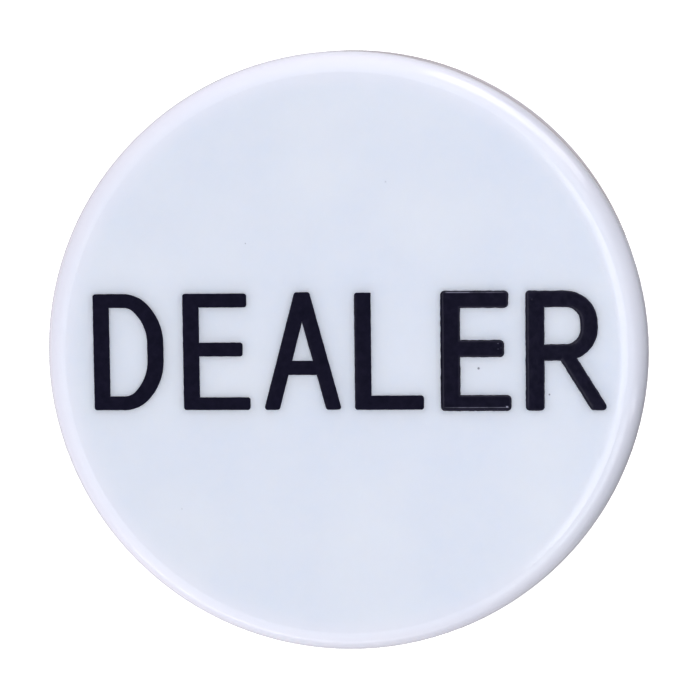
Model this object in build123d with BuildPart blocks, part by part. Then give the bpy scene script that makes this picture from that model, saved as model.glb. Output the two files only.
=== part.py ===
from build123d import *
import os
from math import radians, sin

# Dealer button: a solid cast-acrylic puck with one word engraved on each face,
# every engraved letter filled with its own plug of black enamel.
# Frame: origin at the centre of the lower face, +Z up, the word runs along +X.

# Puck, in millimetres
DIAMETER = 76.2
THICKNESS = 20.0
EDGE_RADIUS = 3.0  # rounded rim
EASING_RADIUS = 10.0  # the polishing wheel's gentler roll-off between face and rim
EASING_ANGLE = 8.0  # degrees that the roll-off turns through

# Engraving
GROOVE_DEPTH = 0.8
ARRIS = 0.06  # chamfer that buffing leaves along each groove
ENAMEL_RECESS = 0.08  # enamel surface below the face
CUTTER_RADIUS = 0.28  # rounds the outer corners of each stroke

# Block lettering
CAP_HEIGHT = 14.65
BASELINE = -6.8  # height of the letters' feet along Y
STEM = 1.95  # width of upright strokes
BAR = 1.65  # width of level strokes
MID_BAR = 6.8  # underside of the middle bar above the baseline
LOW_BAR_E = 1.5
E_TOP_REACH = 8.0
E_MID_REACH = 7.45
E_LOW_REACH = 8.35
L_REACH = 8.55
D_WIDTH = 8.8
D_CURVE = (5.0, 6.2)  # how far the bowl's curve reaches along X and along Y
A_WIDTH = 9.7
A_APEX = 1.8  # width of the flat top
A_LEG = 1.85  # width of a leg, measured level
A_RISE = 0.12  # the flat top stands a little above the other letters
A_CROSS_BAR = (4.42, 6.1)  # underside and top of the cross bar
R_BOWL_WIDTH = 8.6
R_BOWL_FOOT = 6.27  # underside of the bowl above the baseline
R_BOWL_RADIUS = 3.85
R_BOWL_STROKE = 1.77
R_LEG = 1.76  # width of the leg, measured level
R_FOOT = 9.9  # right end of the leg on the baseline
R_LEG_SLOPE = 0.615  # run of the leg per unit of drop
R_LEG_TOP = 7.2  # the leg ends inside the bowl's lower stroke

# The flat of each face ends where the roll-off begins
EASED = sin(radians(EASING_ANGLE))
FACE_RADIUS = DIAMETER / 2 - EASING_RADIUS * EASED - EDGE_RADIUS * (1 - EASED)


def round_end(left, bottom, right, top, reach_x, reach_y):
    """Edges of a shape that is square on the left and round on the right.

    Each right-hand corner is a tight and then a wide arc of 45 degrees, reaching reach_x and reach_y.
    """
    flat_share = 1 - 0.5**0.5
    shoulder = (reach_x - flat_share * (reach_x + reach_y)) / (1 - 2 * flat_share)
    flank = reach_x + reach_y - shoulder
    with BuildLine() as outline:
        upper = JernArc((right - reach_x, top), (1, 0), shoulder, -45)
        upper_flank = JernArc(upper @ 1, upper % 1, flank, -45)
        lower = JernArc((right - reach_x, bottom), (1, 0), shoulder, 45)
        lower_flank = JernArc(lower @ 1, lower % 1, flank, 45)
        Line(upper_flank @ 1, lower_flank @ 1)
        Polyline(upper @ 0, (left, top), (left, bottom), lower @ 0)
    return outline.edges()


def letter_d():
    reach_x, reach_y = D_CURVE
    with BuildSketch() as letter:
        make_face(round_end(0, 0, D_WIDTH, CAP_HEIGHT, reach_x, reach_y))
        make_face(
            round_end(STEM, BAR, D_WIDTH - STEM, CAP_HEIGHT - BAR, reach_x - STEM, reach_y - BAR),
            mode=Mode.SUBTRACT,
        )
        fillet(letter.vertices().group_by(Axis.X)[0], CUTTER_RADIUS)
    return letter


def bar_ends_and_stem_ends(letter):
    """Every corner but the inner ones, where a bar meets the stem."""
    return letter.vertices().filter_by(lambda corner: abs(corner.X - STEM) > CUTTER_RADIUS)


def letter_e():
    low_corner = (Align.MIN, Align.MIN)
    with BuildSketch() as letter:
        Rectangle(STEM, CAP_HEIGHT, align=low_corner)
        Rectangle(E_LOW_REACH, LOW_BAR_E, align=low_corner)
        with Locations((0, MID_BAR)):
            Rectangle(E_MID_REACH, BAR, align=low_corner)
        with Locations((0, CAP_HEIGHT - BAR)):
            Rectangle(E_TOP_REACH, BAR, align=low_corner)
        fillet(bar_ends_and_stem_ends(letter), CUTTER_RADIUS)
    return letter


def letter_a():
    top = CAP_HEIGHT + A_RISE
    slope = (A_WIDTH - A_APEX) / 2 / top
    middle = A_WIDTH / 2
    bar_foot, bar_top = A_CROSS_BAR

    def gap(height):
        return middle - A_LEG - slope * height

    with BuildSketch() as letter:
        Polygon((0, 0), (A_WIDTH, 0), (middle + A_APEX / 2, top), (middle - A_APEX / 2, top))
        Polygon(
            (middle - gap(0), 0),
            (middle + gap(0), 0),
            (middle + gap(bar_foot), bar_foot),
            (middle - gap(bar_foot), bar_foot),
            mode=Mode.SUBTRACT,
        )
        Polygon(
            (middle - gap(bar_top), bar_top),
            (middle + gap(bar_top), bar_top),
            (middle, (middle - A_LEG) / slope),
            mode=Mode.SUBTRACT,
        )
        levels = letter.vertices().group_by(Axis.Y)
        fillet(levels[0] + levels[-1], CUTTER_RADIUS)
    return letter


def letter_l():
    low_corner = (Align.MIN, Align.MIN)
    with BuildSketch() as letter:
        Rectangle(STEM, CAP_HEIGHT, align=low_corner)
        Rectangle(L_REACH, BAR, align=low_corner)
        fillet(bar_ends_and_stem_ends(letter), CUTTER_RADIUS)
    return letter


def letter_r():
    radius = R_BOWL_RADIUS
    inner = R_BOWL_RADIUS - R_BOWL_STROKE
    inner_right = R_BOWL_WIDTH - R_BOWL_STROKE
    leg_shift = R_LEG_SLOPE * R_LEG_TOP
    with BuildSketch() as letter:
        make_face(round_end(0, R_BOWL_FOOT, R_BOWL_WIDTH, CAP_HEIGHT, radius, radius))
        make_face(
            round_end(STEM, R_BOWL_FOOT + BAR, inner_right, CAP_HEIGHT - BAR, inner, inner),
            mode=Mode.SUBTRACT,
        )
        Rectangle(STEM, CAP_HEIGHT, align=(Align.MIN, Align.MIN))
        Polygon(
            (R_FOOT - R_LEG, 0),
            (R_FOOT, 0),
            (R_FOOT - leg_shift, R_LEG_TOP),
            (R_FOOT - R_LEG - leg_shift, R_LEG_TOP),
        )
        feet = letter.vertices().group_by(Axis.Y)[0]
        head = letter.vertices().group_by(Axis.X)[0].sort_by(Axis.Y)[-1]
        fillet(feet + [head], CUTTER_RADIUS)
    return letter


def cut_outline(letter, left, extra_weight):
    """The letter in its place on the face, with its strokes widened where the tapered cutter went deeper."""
    with BuildSketch() as outline:
        with Locations((left, BASELINE)):
            add(letter.sketch)
        if extra_weight:
            offset(amount=extra_weight, kind=Kind.ARC)
    return outline.sketch


# Letter, left end along X, and how far the cut widens each side of its strokes
WORD = (
    ("d", letter_d(), -31.85, 0.0),
    ("e", letter_e(), -20.45, 0.0),
    ("a", letter_a(), -10.25, 0.0),
    ("l", letter_l(), 1.25, 0.02),
    ("e", letter_e(), 12.25, 0.2),
    ("r", letter_r(), 22.85, 0.15),
)
OUTLINES = [cut_outline(letter, left, extra) for _, letter, left, extra in WORD]

# Each side's plane looks out of the puck, with its X along the direction of reading
SIDES = {
    "front": Plane.XY.offset(THICKNESS),
    "back": Plane(origin=(0, 0, 0), x_dir=(-1, 0, 0), z_dir=(0, 0, -1)),
}

os.makedirs("parts", exist_ok=True)

with BuildPart() as puck_body:
    with BuildSketch(Plane.XZ):
        with BuildLine():
            rims = []
            for level, turn in ((THICKNESS, -1), (0, 1)):
                easing = JernArc((FACE_RADIUS, level), (1, 0), EASING_RADIUS, turn * EASING_ANGLE)
                rims += [JernArc(easing @ 1, easing % 1, EDGE_RADIUS, turn * (90 - EASING_ANGLE))]
            Line(rims[0] @ 1, rims[1] @ 1)
            Polyline((FACE_RADIUS, THICKNESS), (0, THICKNESS), (0, 0), (FACE_RADIUS, 0))
        make_face()
    revolve(axis=Axis.Z)
    for side in SIDES.values():
        with BuildSketch(side):
            add(OUTLINES)
        extrude(amount=-GROOVE_DEPTH, mode=Mode.SUBTRACT)
    for level in (-1, 0):
        face_edges = puck_body.edges().group_by(Axis.Z)[level]
        chamfer(face_edges.filter_by(lambda edge: edge.length < FACE_RADIUS), ARRIS)
puck_body.part.label = "puck_body"
export_step(puck_body.part, "parts/puck_body.step")

for side_name, side in SIDES.items():
    for place, (entry, outline) in enumerate(zip(WORD, OUTLINES), start=1):
        with BuildPart() as enamel:
            with BuildSketch(side.offset(-GROOVE_DEPTH)):
                add(outline)
            extrude(amount=GROOVE_DEPTH - ENAMEL_RECESS)
        node = f"{side_name}_enamel_{place}_{entry[0]}"
        enamel.part.label = node
        export_step(enamel.part, f"parts/{node}.step")
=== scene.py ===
import math

import bpy
import numpy as np
from mathutils import Matrix, Vector, geometry, noise


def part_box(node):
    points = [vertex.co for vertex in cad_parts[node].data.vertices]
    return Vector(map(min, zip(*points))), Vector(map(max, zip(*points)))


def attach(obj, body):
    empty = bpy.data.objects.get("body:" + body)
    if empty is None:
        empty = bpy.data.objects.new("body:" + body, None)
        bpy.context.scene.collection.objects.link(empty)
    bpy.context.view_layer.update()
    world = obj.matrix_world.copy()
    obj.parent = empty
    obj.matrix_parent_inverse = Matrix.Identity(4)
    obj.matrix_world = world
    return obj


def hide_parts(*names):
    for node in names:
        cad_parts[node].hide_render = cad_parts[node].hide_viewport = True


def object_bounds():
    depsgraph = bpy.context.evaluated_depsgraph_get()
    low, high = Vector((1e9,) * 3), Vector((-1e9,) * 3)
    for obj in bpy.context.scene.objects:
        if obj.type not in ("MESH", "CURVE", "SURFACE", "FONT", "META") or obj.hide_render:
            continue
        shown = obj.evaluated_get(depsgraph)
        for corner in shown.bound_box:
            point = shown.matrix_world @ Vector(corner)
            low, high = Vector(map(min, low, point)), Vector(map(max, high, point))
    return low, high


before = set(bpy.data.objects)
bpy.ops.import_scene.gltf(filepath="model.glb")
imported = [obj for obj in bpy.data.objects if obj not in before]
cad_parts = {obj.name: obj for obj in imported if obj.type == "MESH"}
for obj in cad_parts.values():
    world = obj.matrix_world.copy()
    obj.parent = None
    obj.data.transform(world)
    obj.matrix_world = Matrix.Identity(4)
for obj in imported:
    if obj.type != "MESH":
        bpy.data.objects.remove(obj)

# The dealer button's looks, in metres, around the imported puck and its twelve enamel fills.
MM = 0.001
cad_low, cad_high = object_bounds()
FACE_Z = {"front": cad_high.z, "back": cad_low.z}
OUTWARD = {"front": 1, "back": -1}
FACE_CENTRE = Vector((0, 0, cad_high.z))
CONTRAST = 0.65  # gamma of the view transform, for the contrast of a phone camera
scene = bpy.context.scene


# ---------------------------------------------------------------- shader nodes

class NodeTree:
    """A node tree, built by wiring one node after another."""

    def __init__(self, tree):
        self.tree = tree

    def node(self, kind, inputs=(), out=0, **settings):
        """Adds a node, sets its properties, and gives its inputs values or other nodes' outputs."""
        made = self.tree.nodes.new("ShaderNode" + kind)
        for key, value in settings.items():
            setattr(made, key, value)
        for key, value in dict(inputs).items():
            self.feed(made.inputs[key], value)
        return made.outputs[out]

    def feed(self, socket, value):
        if isinstance(value, bpy.types.NodeSocket):
            self.tree.links.new(value, socket)
        else:
            socket.default_value = value

    def math(self, operation, *values):
        return self.node("Math", dict(enumerate(values)), operation=operation)

    def ramp(self, value, low, high, to_low=0.0, to_high=1.0, **settings):
        inputs = {"Value": value, "From Min": low, "From Max": high, "To Min": to_low, "To Max": to_high}
        return self.node("MapRange", inputs, **settings)

    def millimetres(self):
        place = self.node("TexCoord", out="Object")
        return self.node("VectorMath", {0: place, "Scale": 1 / MM}, operation="SCALE")

    def noise(self, place, scale, detail=2.0, rough=0.5):
        inputs = {"Vector": place, "Scale": scale, "Detail": detail, "Roughness": rough}
        return self.node("TexNoise", inputs, out="Fac")

    def blend(self, factor, first, second):
        """Colour mix. First and second are colours or sockets."""
        inputs = {0: factor, 6: first, 7: second}
        return self.node("Mix", inputs, out=2, data_type="RGBA")

    def part(self, place, axis):
        return self.node("SeparateXYZ", {0: place}, out=axis)

    def product(self, first, second):
        return self.math("MULTIPLY", first, second)

    def bump(self, height, depth, normal=None):
        inputs = {"Height": height, "Distance": depth, "Strength": 1.0}
        if normal is not None:
            inputs["Normal"] = normal
        return self.node("Bump", inputs, out="Normal")


class Shader(NodeTree):
    """A material with a Principled surface."""

    def __init__(self, name):
        self.material = bpy.data.materials.new(name)
        self.material.use_nodes = True
        super().__init__(self.material.node_tree)
        self.surface = self.tree.nodes["Principled BSDF"]

    def wire(self, **inputs):
        for key, value in inputs.items():
            self.feed(self.surface.inputs[key.replace("_", " ")], value)


# ---------------------------------------------------------------- camera, light and floor

CAMERA_ELEVATION = 82.52  # degrees
CAMERA_BEARING = 56.4  # degrees, the side that it leans to
CAMERA_ROLL = math.radians(-0.66)
CAMERA_DISTANCE = 0.3694
FOCAL_LENGTH_MM = 151.1
CAMERA_SHIFT = (0.0069, 0.008)


def direction(bearing_degrees, elevation_degrees):
    """Unit vector at a bearing from +X towards +Y, and an elevation above the floor."""
    bearing, elevation = math.radians(bearing_degrees), math.radians(elevation_degrees)
    level = math.cos(elevation)
    return Vector((level * math.cos(bearing), level * math.sin(bearing), math.sin(elevation)))


def aimed(location, backward, up_hint, roll=0.0):
    """World matrix of a camera or light that looks along -backward."""
    right = up_hint.cross(backward).normalized()
    up = backward.cross(right)
    rolled_right = math.cos(roll) * right + math.sin(roll) * up
    rolled_up = math.cos(roll) * up - math.sin(roll) * right
    matrix = Matrix((rolled_right, rolled_up, backward)).transposed().to_4x4()
    matrix.translation = location
    return matrix


def add_camera():
    data = bpy.data.cameras.new("camera")
    data.sensor_width = 36
    data.lens = FOCAL_LENGTH_MM
    data.shift_x, data.shift_y = CAMERA_SHIFT
    data.clip_start, data.clip_end = 0.01, 50
    camera = bpy.data.objects.new("camera", data)
    scene.collection.objects.link(camera)
    backward = direction(CAMERA_BEARING, CAMERA_ELEVATION)
    location = FACE_CENTRE + CAMERA_DISTANCE * backward
    camera.matrix_world = aimed(location, backward, Vector((0, 1, 0)), CAMERA_ROLL)
    scene.camera = camera


def add_softbox(name, bearing, elevation, width, height, radiance):
    """A rectangular area light that faces the button from a bearing and an elevation."""
    data = bpy.data.lights.new(name, "AREA")
    data.shape = "RECTANGLE"
    data.size, data.size_y = width, height
    data.energy = radiance * width * height * math.pi
    light = bpy.data.objects.new(name, data)
    scene.collection.objects.link(light)
    outward = direction(bearing, elevation)
    light.matrix_world = aimed(FACE_CENTRE + LIGHT_DISTANCE * outward, outward, Vector((0, 0, 1)))


DOME_BASE = 0.75
# Soft lobes of the dome of light: bearing, elevation, half width and softness in degrees, and what each adds
DOME_LOBES = (
    (76, 34, 44, 34, 1.0),
    (255, 54, 36, 28, 1.3),
    (185, -4, 55, 25, 0.5),
    (6, -8, 47, 9, -4.0),
)
DOME_SHADE = (225, 84, 24, 12)  # the dark patch overhead, so that the enamel reflects nothing bright
SHADE_LEFT = 0.1
DOME_SCALE = 0.688
LOW_TINT = (1.03, 0.965, 0.975, 1)  # light from below the horizon, bounced off warm things
HIGH_TINT = (0.97, 0.985, 1.0, 1)
TINT_CHANGE = (-0.1, 0.6)  # from one to the other, between these sines of the elevation


def add_dome():
    """Soft studio light from all round, as a world whose brightness depends on the direction alone."""
    world = bpy.data.worlds.new("studio")
    scene.world = world
    world.use_nodes = True
    tree = NodeTree(world.node_tree)
    towards = tree.node("TexCoord", out="Generated")

    def lobe(bearing, elevation, width, softness):
        centre = direction(bearing, elevation)
        facing = tree.node("VectorMath", {0: towards, 1: centre}, "Value", operation="DOT_PRODUCT")
        edge = math.cos(math.radians(width + softness))
        core = math.cos(math.radians(max(width - softness, 0)))
        return tree.ramp(facing, edge, core, interpolation_type="SMOOTHSTEP")

    total = DOME_BASE
    for *shape, amount in DOME_LOBES:
        total = tree.math("MULTIPLY_ADD", lobe(*shape), amount, total)
    total = tree.math("MAXIMUM", total, 0.0)
    shade = tree.ramp(lobe(*DOME_SHADE), 0, 1, DOME_SCALE, DOME_SCALE * SHADE_LEFT)
    tint = tree.blend(tree.ramp(tree.part(towards, "Z"), *TINT_CHANGE), LOW_TINT, HIGH_TINT)
    background = world.node_tree.nodes["Background"]
    tree.feed(background.inputs["Color"], tint)
    tree.feed(background.inputs["Strength"], tree.product(total, shade))


LIGHT_DISTANCE = 0.8
# Name, bearing, elevation, width, height and radiance of each softbox
SOFTBOXES = (
    ("bottom_strip", -104, 9, 1.2, 0.035, 6.0),
    ("right_spark", -17, 24, 0.05, 0.3, 4.0),
    ("lower_right_card", -45, 44, 0.5, 0.12, 1.9),
    ("upper_right_card", 54, 12, 0.6, 0.5, 2.4),
    ("right_card", -4, 77, 0.6, 0.1, 2.8),
)


def add_lights():
    add_dome()
    for softbox in SOFTBOXES:
        add_softbox(*softbox)


def new_object(name, vertices, faces, smooth=True):
    mesh = bpy.data.meshes.new(name)
    mesh.from_pydata(vertices, [], faces)
    mesh.polygons.foreach_set("use_smooth", [smooth] * len(mesh.polygons))
    mesh.update()
    piece = bpy.data.objects.new(name, mesh)
    scene.collection.objects.link(piece)
    return piece


FLOOR_RADIUS = 3.0
FLOOR_CORNERS = 96
FLOOR_DROP = 0.02 * MM  # the floor's gap below the button


def add_floor(material):
    """A disc under the button and a far wall round it, which show to the camera but light nothing."""
    turns = np.linspace(0, 2 * math.pi, FLOOR_CORNERS, endpoint=False)
    rings = [(FLOOR_RADIUS * math.cos(turn), FLOOR_RADIUS * math.sin(turn), level)
             for level in (cad_low.z - FLOOR_DROP, FLOOR_RADIUS) for turn in turns]
    disc = tuple(range(FLOOR_CORNERS))
    wall = [(i, i + FLOOR_CORNERS, j + FLOOR_CORNERS, j) for i, j in zip(disc, disc[1:] + disc[:1])]
    floor = new_object("floor", rings, [disc] + wall, smooth=False)
    floor.data.materials.append(material)
    floor.visible_diffuse = False
    floor.visible_glossy = False
    floor.visible_shadow = False


# ---------------------------------------------------------------- materials

FRONT_LEVELS = (19.0, 19.5)  # mm; what is only on the front fades in between these heights
RIM_SPAN = (33.5, 36.5)  # mm from the axis; the rim's looks take over from the face's between these radii
# Specks of stray enamel on the front: where they are along X and Y and how wide, in millimetres
SPECKS = (
    (16.75, -1.67, 0.13),
    (25.6, -5.0, 0.09),
    (-12.4, 14.2, 0.05),
    (5.3, 21.8, 0.05),
    (-21.0, -19.5, 0.04),
)
SPECK_COLOUR = (0.12, 0.12, 0.18, 1)
SCRATCHES = ((0.4, 14.0), (1.9, 11.0), (2.7, 17.0))  # which way each set of hairlines runs and how fine it is


def front_only(shader, mm):
    """One on the front and its enamel, and nothing below."""
    return shader.ramp(shader.part(mm, "Z"), *FRONT_LEVELS)


def white_acrylic():
    shader = Shader("white_acrylic")
    mm = shader.millimetres()
    level = shader.node("VectorMath", {0: mm, 1: (1, 1, 0)}, operation="MULTIPLY")
    from_axis = shader.node("VectorMath", {0: level}, "Value", operation="LENGTH")
    rim = shader.ramp(from_axis, *RIM_SPAN)

    # the cast sheet is never one even white: broad clouds, finer curds, and a dust of paler grains
    clouds = shader.ramp(shader.noise(mm, 0.07, detail=3), 0.3, 0.7)
    curds = shader.noise(mm, 0.45, detail=3, rough=0.6)
    base = shader.blend(clouds, (0.80, 0.835, 0.925, 1), (0.835, 0.86, 0.93, 1))
    base = shader.blend(shader.ramp(curds, 0.35, 0.75, 0, 0.5), base, (0.83, 0.85, 0.925, 1))
    grains = shader.node("TexVoronoi", {"Vector": mm, "Scale": 1.1}, out="Distance")
    base = shader.blend(shader.ramp(grains, 0.16, 0.05, 0, 0.35), base, (0.86, 0.875, 0.94, 1))
    # painted edge glow: the rim is tinted paler and pinker, for light glowing through the acrylic's edge
    base = shader.blend(shader.product(rim, 0.5), base, (0.865, 0.855, 0.925, 1))
    front = front_only(shader, mm)
    for x, y, size in SPECKS:
        centre = (x, y, FACE_Z["front"] / MM)
        away = shader.node("VectorMath", {0: mm, 1: centre}, "Value", operation="DISTANCE")
        spot = shader.product(shader.ramp(away, 1.5 * size, 0.6 * size, 0, 0.6), front)
        base = shader.blend(spot, base, SPECK_COLOUR)

    # gloss: polished, with a faint haze and hairline scratches from being slid about on the felt
    worn = shader.ramp(shader.noise(mm, 0.15, detail=4), 0.35, 0.7, 0.10, 0.2)
    shader.wire(Base_Color=base, Roughness=worn, IOR=1.49)
    # light goes deep into the face, which softens the letters' edges, but the rim stays crisp
    shader.wire(Subsurface_Weight=shader.math("MULTIPLY_ADD", rim, -0.45, 0.5))
    shader.wire(Subsurface_Radius=(1.0, 0.95, 0.9), Subsurface_Scale=3.0 * MM)
    normal = shader.bump(shader.noise(mm, 0.22, detail=1), 0.004 * MM)
    ripples = shader.product(shader.noise(mm, 0.9, detail=2), rim)
    normal = shader.bump(ripples, 0.006 * MM, normal)
    for turn, fineness in SCRATCHES:
        stretch = {"Vector": mm, "Rotation": (0, 0, turn), "Scale": (0.12, fineness, 1)}
        hairs = shader.noise(shader.node("Mapping", stretch), 1.0, detail=1)
        normal = shader.bump(shader.ramp(hairs, 0.70, 0.78), -0.0012 * MM, normal)
    shader.wire(Normal=normal)
    return shader.material


# Painted highlights on the enamel, pale lines and dots where its meniscus and blisters would catch a lamp:
# middle and half length along X, height along Y, half width, and how strong
PAINTED_HIGHLIGHTS = (
    (16.3, 3.9, 7.86, 0.09, 0.4),  # the second e's head
    (14.2, 1.6, 7.9, 0.08, 0.5),
    (16.5, 4.1, -6.64, 0.09, 0.4),  # its foot
    (20.3, 0.16, -6.55, 0.16, 1.0),  # the blister at the foot's end
    (19.2, 0.12, 0.75, 0.1, 0.3),  # and the two at the middle bar's
    (19.2, 0.12, 1.45, 0.1, 0.25),
)
# the colour of the painted highlights
PAINTED_HIGHLIGHT_COLOUR = (0.42, 0.42, 0.52, 1)


def black_enamel():
    shader = Shader("black_enamel")
    mm = shader.millimetres()
    patches = shader.ramp(shader.noise(mm, 0.8, detail=4, rough=0.6), 0.3, 0.7)
    base = shader.blend(patches, (0.022, 0.021, 0.049, 1), (0.034, 0.031, 0.067, 1))
    flakes = shader.node("TexVoronoi", {"Vector": mm, "Scale": 2.2}, out="Distance")
    base = shader.blend(shader.ramp(flakes, 0.12, 0.04, 0, 0.5), base, (0.04, 0.03, 0.07, 1))
    # painted highlights: paler lines and dots along the enamel's edges and blisters, only on the front
    x, y = shader.part(mm, "X"), shader.part(mm, "Y")
    front = front_only(shader, mm)
    for middle, half_length, height, half_width, strength in PAINTED_HIGHLIGHTS:
        along = shader.math("ABSOLUTE", shader.math("SUBTRACT", x, middle))
        across = shader.math("ABSOLUTE", shader.math("SUBTRACT", y, height))
        line = shader.product(shader.ramp(along, half_length, 0.85 * half_length, 0, strength),
                              shader.ramp(across, half_width, 0.3 * half_width))
        line = shader.product(line, shader.ramp(patches, 0, 0.6, 0.35, 1))
        base = shader.blend(shader.product(line, front), base, PAINTED_HIGHLIGHT_COLOUR)
    gloss = shader.ramp(shader.noise(mm, 1.6, detail=3), 0.3, 0.7, 0.14, 0.26)
    shader.wire(Base_Color=base, Roughness=gloss, IOR=1.5)
    peel = shader.bump(shader.noise(mm, 2.5, detail=2), 0.01 * MM)
    shader.wire(Normal=shader.bump(shader.noise(mm, 9.0, detail=2), 0.0015 * MM, peel))
    return shader.material


def pale_floor():
    shader = Shader("pale_floor")
    mm = shader.millimetres()
    shader.wire(Base_Color=(0.5, 0.5, 0.5, 1), Roughness=0.6)
    shader.wire(Emission_Color=(1, 1, 1, 1), Emission_Strength=0.72)
    shader.wire(Normal=shader.bump(shader.noise(mm, 1.5), 0.01 * MM))
    return shader.material


# ---------------------------------------------------------------- enamel

def fill_outlines(node, side):
    """Closed outlines, in millimetres, of a CAD fill's outer face: arrays of (x, y)."""
    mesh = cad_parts[node].data
    top = OUTWARD[side] * max(OUTWARD[side] * v.co.z for v in mesh.vertices)
    flat = 0.001 * MM  # how far a level face's corners may differ
    uses = {}
    for polygon in mesh.polygons:
        corners = [mesh.vertices[i].co for i in polygon.vertices]
        if any(abs(c.z - top) > flat for c in corners):
            continue
        keys = [(round(c.x / MM, 3), round(c.y / MM, 3)) for c in corners]
        for a, b in zip(keys, keys[1:] + keys[:1]):
            uses[(a, b)] = uses.get((a, b), 0) + 1
    following = {a: b for (a, b) in uses if (b, a) not in uses}
    outlines = []
    while following:
        start, point = next(iter(following.items()))
        del following[start]
        loop = [start]
        while point != start:
            loop.append(point)
            point = following.pop(point)
        outlines.append(np.array(loop))
    return outlines


def even_points(outline, spacing):
    """The outline with its long edges cut into equal steps no longer than spacing."""
    points = []
    for a, b in zip(outline, np.roll(outline, -1, axis=0)):
        steps = max(1, math.ceil(np.hypot(*(b - a)) / spacing))
        points += [a + (b - a) * i / steps for i in range(steps)]
    return np.array(points)


def distance_to(points, outlines):
    """Distance of each point from the nearest outline."""
    nearest = np.full(len(points), 1e9)
    for outline in outlines:
        a, b = outline, np.roll(outline, -1, axis=0)
        along = b - a
        for start, edge in zip(a, along):
            t = np.clip(((points - start) @ edge) / (edge @ edge), 0, 1)
            nearest = np.minimum(nearest, np.hypot(*(points - start - t[:, None] * edge).T))
    return nearest


def inside(points, outlines):
    """Even-odd test of which points lie within the outlines."""
    odd = np.zeros(len(points), bool)
    for outline in outlines:
        for (ax, ay), (bx, by) in zip(outline, np.roll(outline, -1, axis=0)):
            if ay == by:
                continue
            spans = (ay > points[:, 1]) != (by > points[:, 1])
            crossing = ax + (points[:, 1] - ay) * (bx - ax) / (by - ay)
            odd ^= spans & (points[:, 0] < crossing)
    return odd


def triangulate(points, loops):
    """Triangles over the points within the loops, which are lists of point indices.

    Gives the corners, the triangles, and where each of the points went among the corners.
    """
    edges = [edge for loop in loops for edge in zip(loop, loop[1:] + loop[:1])]
    made = geometry.delaunay_2d_cdt([Vector(p) for p in points], edges, [], 0, 1e-6)
    corners = np.array([tuple(v) for v in made[0]])
    faces = np.array([tuple(f) for f in made[2]])
    outlines = [np.array([points[i] for i in loop]) for loop in loops]
    faces = faces[inside(corners[faces].mean(axis=1), outlines)]
    went = {source: corner for corner, sources in enumerate(made[3]) for source in sources}
    return corners, faces, went


# How each fill dried, in millimetres: how far the middle sinks and over what distance, how far the edge
# creeps over the groove's arris and by how much that varies, and the height of the crease along the letter's
# foot. Each blister has its places from the letter's right and foot, its radius and its rise.
PLAIN_FILL = dict(dish=0.05, reach=0.4, creep=0.035, ragged=0.03, crease=0.0, blisters=())
FULL_FILLS = {
    "5_e": dict(dish=0.13, reach=0.11, creep=0.045, ragged=0.055, crease=0.05,
                blisters=((0.42, 0.38, 0.13, 0.07), (1.25, 6.9, 0.11, 0.04), (1.25, 7.9, 0.11, 0.04))),
    "6_r": dict(dish=0.08, reach=0.13, creep=0.045, ragged=0.055, crease=0.0,
                blisters=((9.3, 13.9, 0.1, 0.03),)),
}
CREEP_LIMITS = (0.012, 0.14)
WAVES = ((1.1, 0.006), (0.35, 0.002))  # mm: the width and swing of each set of waves in the surface
WAVES_REACH = 0.25  # mm from the walls over which the waves grow
CREASE_RISE = 0.36  # mm from the letter's foot to its crease
CREASE_WIDTH = 0.05
ENAMEL_GRID = 0.12  # mm between the points of the dished surface
GRID_MARGIN = 0.25  # mm from the grid to the walls
ENAMEL_EDGE = 0.11  # mm between the points of an outline
ARRIS = 0.06  # the groove's chamfer, as in the CAD
FLOOR_STAGGER = 0.002  # keeps points in a row out of line while the underside is divided into triangles
FILM = 0.004  # how far the enamel's feathered edge stands above the face
SHARP_ANGLE = math.radians(50)  # faces that meet at more than this keep a crisp edge


def outward_normals(loop):
    """For each point of a loop that keeps the enamel on its left, the way out of the enamel."""
    along = np.roll(loop, -1, axis=0) - np.roll(loop, 1, axis=0)
    along /= np.hypot(*along.T)[:, None]
    return np.stack([along[:, 1], -along[:, 0]], axis=1)


def surface_height(spots, depth, fill, seed, low, high):
    """Millimetres from the face up to the enamel, at spots that lie depth inside the groove's walls."""
    height = -fill["dish"] * (1 - np.exp(-depth / fill["reach"]))
    for size, swing in WAVES:
        waves = np.array([noise.noise(Vector((x / size, y / size, seed + 3 * size))) for x, y in spots])
        height += swing * waves * (1 - np.exp(-depth / WAVES_REACH))
    # the skin wrinkles as it dries, in a crease along the foot and in a few blisters near the strokes' ends
    sway = np.array([0.02 * noise.noise(Vector((x * 0.7, 5.0, seed))) for x, _ in spots])
    across = (spots[:, 1] - low[1] - CREASE_RISE - sway) / CREASE_WIDTH
    height += fill["crease"] * np.exp(-across**2) * np.clip(depth / 0.12 - 0.5, 0, 1)
    for from_right, from_foot, radius, rise in fill["blisters"]:
        away = np.hypot(spots[:, 0] - high[0] + from_right, spots[:, 1] - low[1] - from_foot)
        height += rise * np.exp(-((away / radius) ** 2))
    return height


def fine_points(walls, low, high, fill):
    """Extra points where the surface turns sharply: beside walls, along the crease and on the blisters."""
    made = [wall - outward_normals(wall) * step for wall in walls for step in (0.04, 0.085, 0.14, 0.21)]
    if fill["crease"]:
        xs = np.arange(low[0], high[0], 0.08)
        for step in range(-4, 5):
            made.append(np.array([(x, low[1] + CREASE_RISE + 0.03 * step) for x in xs]))
    for from_right, from_foot, radius, _ in fill["blisters"]:
        for ring in range(1, 7):
            turns = np.linspace(0, 2 * math.pi, 6 * ring, endpoint=False)
            circle = 0.3 * radius * ring * np.stack([np.cos(turns), np.sin(turns)], axis=1)
            made.append(circle + [high[0] - from_right, low[1] + from_foot])
    made = np.vstack(made)
    made = made[inside(made, walls)]
    return made[distance_to(made, walls) > 0.025]


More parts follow.
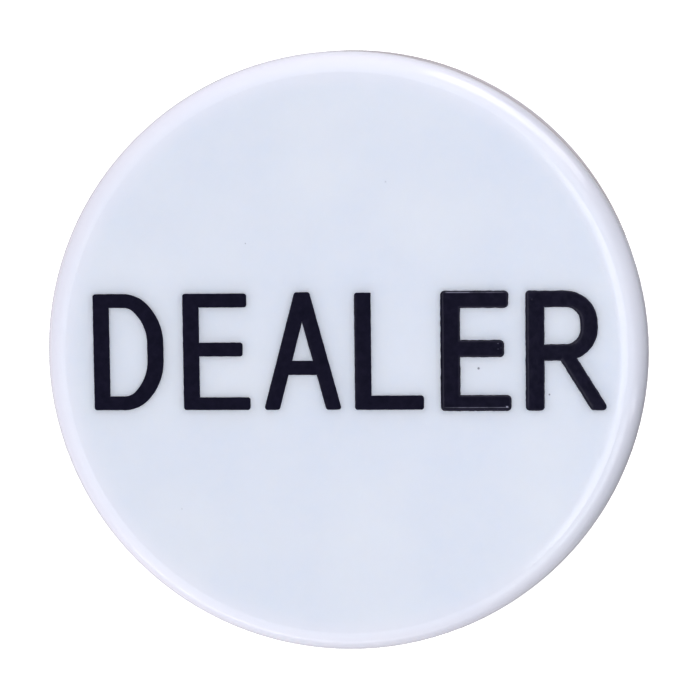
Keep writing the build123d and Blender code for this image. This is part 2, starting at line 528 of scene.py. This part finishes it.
def spread_edge(wall, walls, fill, seed):
    """The feathered edge of the enamel, which has crept out over the groove's wall and arris."""
    wobble = np.array([noise.noise(Vector((x * 1.3, y * 1.3, seed))) for x, y in wall])
    fine = np.array([noise.noise(Vector((x * 4.0, y * 4.0, seed + 9))) for x, y in wall])
    reach = np.clip(fill["creep"] + fill["ragged"] * (wobble + 0.4 * fine), *CREEP_LIMITS)
    outward = outward_normals(wall)
    for _ in range(4):  # the edges stay clear of each other in a sharp corner
        ahead = distance_to(wall + 2 * outward * reach[:, None], walls)
        reach = np.where(ahead < reach, reach / 2, reach)
    return wall + outward * reach[:, None]


def grid_points(walls, low, high):
    """Evenly spaced points within the walls, with every second row shifted by half a step."""
    xs = np.arange(low[0], high[0], ENAMEL_GRID)
    ys = np.arange(low[1], high[1], ENAMEL_GRID)
    grid = np.array([(x + (i % 2) * ENAMEL_GRID / 2, y) for i, y in enumerate(ys) for x in xs])
    grid = grid[inside(grid, walls)]
    return grid[distance_to(grid, walls) > GRID_MARGIN]


def one_list(loops):
    """All the loops' points in one list, and each loop as indices into it."""
    points, indices = [], []
    for loop in loops:
        indices.append(list(range(len(points), len(points) + len(loop))))
        points += [tuple(p) for p in loop]
    return points, indices


def enamel_surface(walls, fill, seed):
    """The poured surface: its corners, their heights over the face, its triangles, and its edge's loops."""
    low, high = np.min(np.vstack(walls), 0), np.max(np.vstack(walls), 0)
    points, loops = one_list([spread_edge(wall, walls, fill, seed) for wall in walls])
    points += [tuple(p) for wall in walls for p in wall]
    points += [tuple(p) for p in fine_points(walls, low, high, fill)]
    points += [tuple(p) for p in grid_points(walls, low, high)]
    corners, faces, went = triangulate(points, loops)
    depth = distance_to(corners, walls)
    within = inside(corners, walls) & (depth > 1e-4)
    over = FILM * np.clip(depth / ARRIS, 0, 1)
    height = np.where(within, surface_height(corners, depth, fill, seed, low, high), over)
    return corners, height, faces, [[went[i] for i in loop] for loop in loops]


def floor_triangles(walls):
    """Triangles over the groove's floor, as indices into all the walls' points in one list."""
    staggered = []
    for wall in walls:
        stagger = FLOOR_STAGGER * np.random.default_rng(len(wall)).random(len(wall))
        staggered.append(wall + outward_normals(wall) * stagger[:, None])
    _, faces, went = triangulate(*one_list(staggered))
    source_of = {corner: source for source, corner in went.items()}
    return [tuple(source_of[i] for i in reversed(face)) for face in faces]


def build_enamel(node, side, material, fill, seed):
    """A closed mesh of poured enamel, a little sunken, with a ragged edge where it meets the face."""
    sign = OUTWARD[side]
    face = FACE_Z[side] / MM
    low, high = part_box(node)
    floor_z = (low.z if sign > 0 else high.z) / MM
    walls = [even_points(outline, ENAMEL_EDGE) for outline in fill_outlines(node, side)]
    if sign < 0:
        walls = [wall[::-1] for wall in walls]
    corners, height, faces, rims = enamel_surface(walls, fill, seed)
    vertices = [(x, y, face + sign * h) for (x, y), h in zip(corners, height)]
    polygons = [tuple(f) for f in faces]

    # the underside: back along the chamfer, down the groove's walls and across its floor
    floor_ids = []
    for rim, wall in zip(rims, walls):
        count = len(rim)
        upper = len(vertices)
        lower = upper + count
        vertices += [(x, y, face - sign * ARRIS) for x, y in wall]
        vertices += [(x, y, floor_z) for x, y in wall]
        floor_ids += list(range(lower, lower + count))
        for i in range(count):
            j = (i + 1) % count
            if rim[i] != rim[j]:
                polygons.append((rim[i], upper + i, upper + j, rim[j]))
            polygons.append((upper + i, lower + i, lower + j, upper + j))
    polygons += [tuple(floor_ids[i] for i in triangle) for triangle in floor_triangles(walls)]
    if sign < 0:
        polygons = [p[::-1] for p in polygons]

    vertices = [(x * MM, y * MM, z * MM) for x, y, z in vertices]
    polygons = [tuple(int(i) for i in p) for p in polygons]
    piece = new_object(node.replace("_enamel_", "_poured_enamel_"), vertices, polygons)
    piece.data.set_sharp_from_angle(angle=SHARP_ANGLE)
    piece.data.materials.append(material)
    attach(piece, "root")
    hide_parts(node)


def build_all_enamel(material):
    fills = sorted(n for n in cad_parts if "_enamel_" in n)
    for seed, node in enumerate(fills):
        side = node.split("_")[0]
        fill = FULL_FILLS.get(node[-3:], PLAIN_FILL)
        build_enamel(node, side, material, fill, seed * 7.3)


# ---------------------------------------------------------------- the scene

add_camera()
add_lights()
add_floor(pale_floor())
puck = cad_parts["puck_body"]
acrylic = white_acrylic()
for slot in puck.material_slots:
    slot.material = acrylic
build_all_enamel(black_enamel())
scene.view_settings.view_transform = "Standard"
scene.view_settings.gamma = CONTRAST
